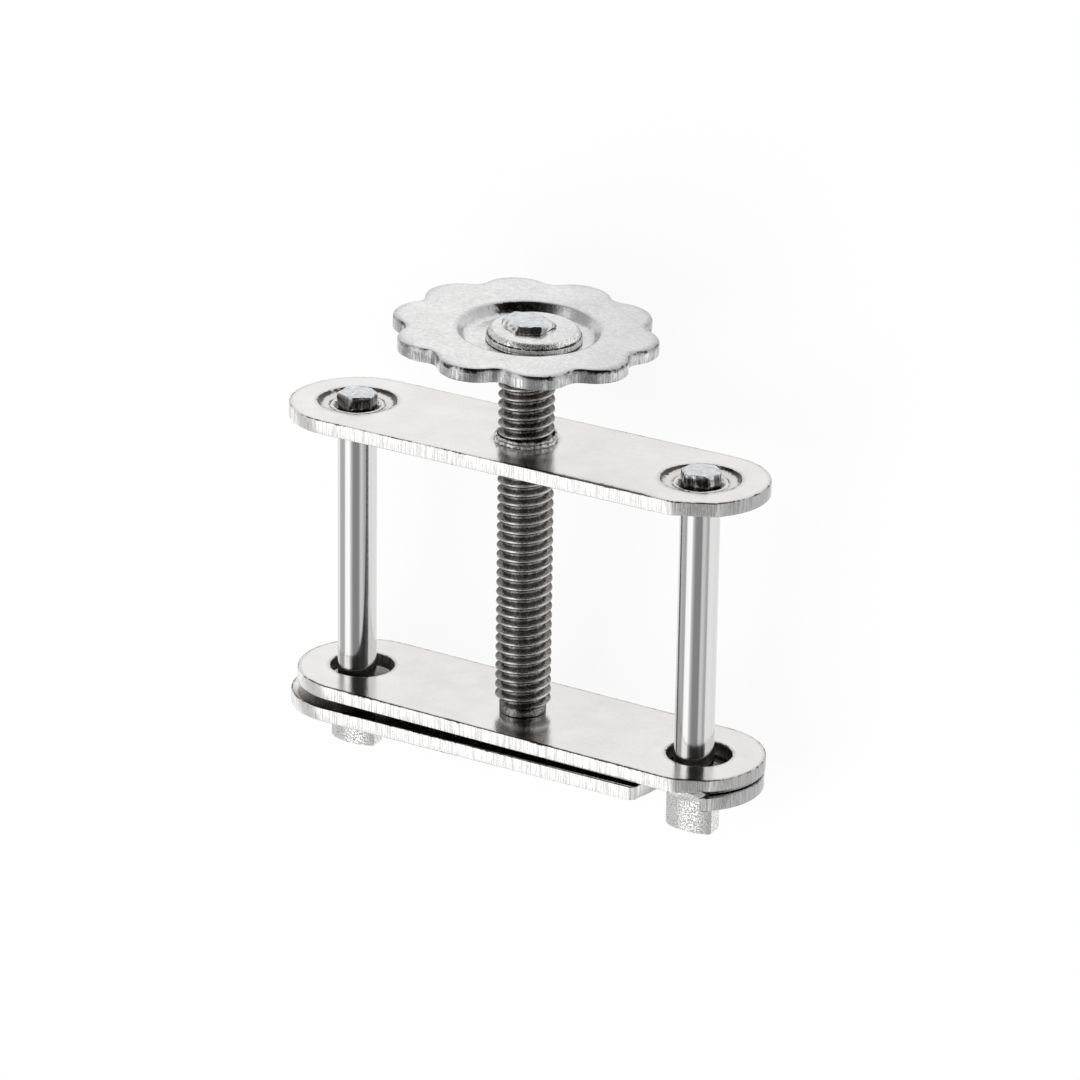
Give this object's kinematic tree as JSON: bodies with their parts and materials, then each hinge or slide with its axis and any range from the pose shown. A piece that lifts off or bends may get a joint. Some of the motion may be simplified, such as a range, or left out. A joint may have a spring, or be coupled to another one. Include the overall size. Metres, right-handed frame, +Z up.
{
  "type": "tubing pinch clamp",
  "caption": "Small screw clamp that pinches flexible laboratory tubing between a sliding jaw plate and a swing-out base plate, turned by a lobed hand wheel.",
  "frame": {"origin": "on the bench that the clamp lies on, under the middle of its bounding box; in X this is midway between the two posts", "axes": "+Z up from the bench, +X along the plates to the free hooked end of the base plate, +Y from the flattened post ends towards the hand wheel"},
  "size_m": [0.0376, 0.0353, 0.0182],
  "materials": {
    "plate_nickel": "satin nickel plating on sheared steel sheet, bright rough sheared edges",
    "post_steel": "polished round rod, matt grainy flattened ends",
    "screw_steel": "rolled thread, dull grey steel with bright crests",
    "wheel_nickel": "tumbled nickel-plated stamping with softened edges"
  },
  "bodies": {
    "frame": {"top_plate": "plate_nickel", "left_post": "post_steel", "right_post": "post_steel"},
    "base": {"base_plate": "plate_nickel"},
    "jaw": {"jaw_plate": "plate_nickel"},
    "screw": {"clamp_screw": "screw_steel", "hand_wheel": "wheel_nickel", "wheel_washer": "wheel_nickel"}
  },
  "joints": [
    {"name": "jaw_slide", "type": "slide", "parent": "frame", "child": "jaw", "axis": [0, 0.9919, 0.1269], "range_m": [-0.00006, 0.0189]},
    {"name": "wheel_spin", "type": "hinge", "parent": "jaw", "child": "screw", "pos_m": [0, -0.01147, 0.00561], "axis": [0, 0.9919, 0.1269], "range_deg": [-30.9, 9720.1]},
    {"name": "base_swing", "type": "hinge", "parent": "frame", "child": "base", "pos_m": [-0.014, -0.01385, 0.0053], "axis": [0, 0.9919, 0.1269], "range_deg": [0, 330]}
  ],
  "couplings": [
    {"joint": "wheel_spin", "follows": "jaw_slide", "rad_per_m": 8976}
  ]
}
